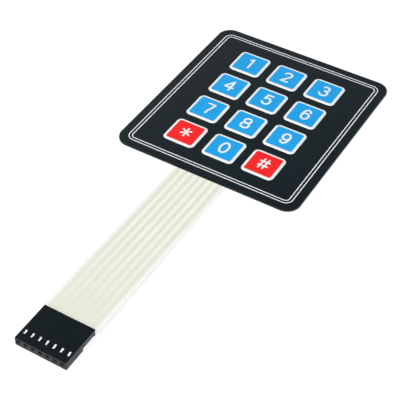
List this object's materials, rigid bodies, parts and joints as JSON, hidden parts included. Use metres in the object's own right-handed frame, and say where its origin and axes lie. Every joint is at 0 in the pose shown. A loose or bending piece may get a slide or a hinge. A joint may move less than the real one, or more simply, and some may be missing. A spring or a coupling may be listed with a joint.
{
  "type": "membrane keypad",
  "caption": "Flat stick-on membrane keypad with raised printed keys, a flexible film tail and a single-row socket for a pin header.",
  "frame": {"origin": "middle of the panel's back face", "axes": "+X to the right of the keys, +Y towards the top row of keys, +Z out of the key face; the tail leaves towards -Y"},
  "size_m": [0.069, 0.165, 0.003],
  "materials": {
    "black_overlay": "satin",
    "white_ink": "satin",
    "blue_ink": "satin",
    "red_ink": "satin",
    "ivory_film": "satin",
    "clear_sheet": "gloss",
    "adhesive": "matte",
    "liner_paper": "matte",
    "silver_ink": "matte",
    "tin_plate": "satin",
    "black_moulding": "satin"
  },
  "bodies": {
    "root": {"white_print": "white_ink", "blue_print": "blue_ink", "red_print": "red_ink", "graphic_overlay": "black_overlay", "overlay_adhesive": "adhesive", "upper_circuit_film": "ivory_film", "column_trace_1": "silver_ink", "column_trace_2": "silver_ink", "column_trace_3": "silver_ink", "spacer": "clear_sheet", "row_trace_1": "silver_ink", "row_trace_2": "silver_ink", "row_trace_3": "silver_ink", "row_trace_4": "silver_ink", "lower_circuit_film": "ivory_film", "rear_adhesive": "adhesive", "release_liner": "liner_paper", "connector_housing": "black_moulding", "connector_clamp": "black_moulding", "terminal_1": "tin_plate", "terminal_2": "tin_plate", "terminal_3": "tin_plate", "terminal_4": "tin_plate", "terminal_5": "tin_plate", "terminal_6": "tin_plate", "terminal_7": "tin_plate"}
  },
  "joints": []
}
